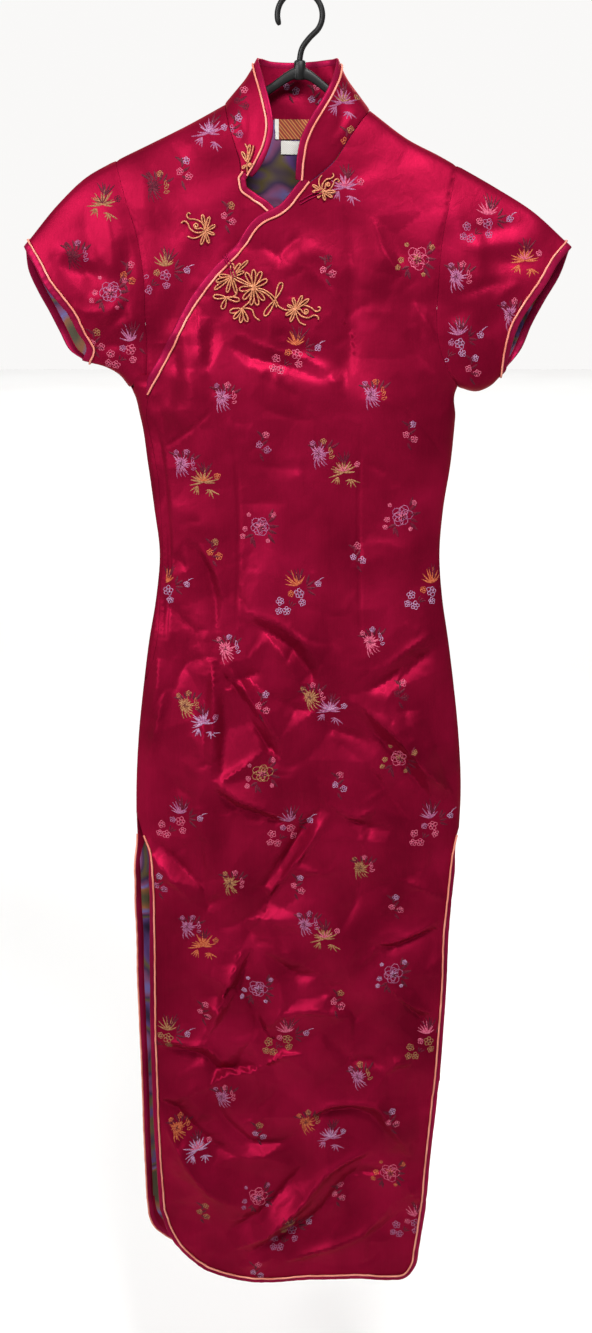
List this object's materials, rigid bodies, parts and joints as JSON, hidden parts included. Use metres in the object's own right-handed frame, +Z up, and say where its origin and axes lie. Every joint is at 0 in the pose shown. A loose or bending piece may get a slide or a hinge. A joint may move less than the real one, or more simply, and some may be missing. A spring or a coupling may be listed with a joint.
{
  "type": "cheongsam dress on hanger",
  "caption": "Long cheongsam with stand collar, diagonal front closing, short sleeves and side slits, hanging on a plain hanger.",
  "frame": {"origin": "inner top of the hanger's hook, where a rail carries it", "axes": "+Z up along the hanging dress, -Y out of its front, +X towards the wearer's left"},
  "size_m": [0.5778, 0.07, 1.4914],
  "materials": {
    "satin_brocade": "glossy woven satin brocade with small flower and leaf motifs",
    "binding_satin": "plain dark red satin, cut on the bias",
    "piping_cord": "thin peach gold rolled piping",
    "frog_cord": "gold satin-covered cord",
    "lining_print": "thin smooth printed lining, purple and brown",
    "label_weave": "woven label, orange, red and yellow",
    "tag_tape": "plain white tape",
    "moulded_plastic": "black moulded plastic, slightly glossy"
  },
  "bodies": {
    "root": {"back_panel": "satin_brocade", "binding_back_skirt": "binding_satin", "binding_collar": "binding_satin", "binding_cuff_left": "binding_satin", "binding_cuff_right": "binding_satin", "binding_front_skirt": "binding_satin", "binding_overlap": "binding_satin", "binding_underlap": "binding_satin", "collar": "satin_brocade", "frog_flower_chest": "frog_cord", "frog_flower_chest_knob": "frog_cord", "frog_flower_collar": "frog_cord", "frog_flower_collar_knob": "frog_cord", "frog_flower_end": "frog_cord", "frog_flower_end_knob": "frog_cord", "frog_flower_lower": "frog_cord", "frog_flower_lower_knob": "frog_cord", "frog_flower_main": "frog_cord", "frog_flower_main_knob": "frog_cord", "frog_flower_neck": "frog_cord", "frog_flower_neck_knob": "frog_cord", "frog_flower_upper": "frog_cord", "frog_flower_upper_knob": "frog_cord", "frog_leaf_lower": "frog_cord", "frog_leaf_side": "frog_cord", "frog_leaf_upper": "frog_cord", "frog_stem": "frog_cord", "front_panel": "satin_brocade", "front_underlap": "satin_brocade", "hanger": "moulded_plastic", "label": "label_weave", "lining_neck": "lining_print", "lining_skirt": "lining_print", "lining_sleeve_left": "lining_print", "lining_sleeve_right": "lining_print", "piping_back_skirt": "piping_cord", "piping_collar": "piping_cord", "piping_cuff_left": "piping_cord", "piping_cuff_right": "piping_cord", "piping_front_skirt": "piping_cord", "piping_overlap": "piping_cord", "piping_underlap": "piping_cord", "size_tag": "tag_tape", "sleeve_left": "satin_brocade", "sleeve_right": "satin_brocade", "zip_placket": "satin_brocade"}
  },
  "joints": []
}
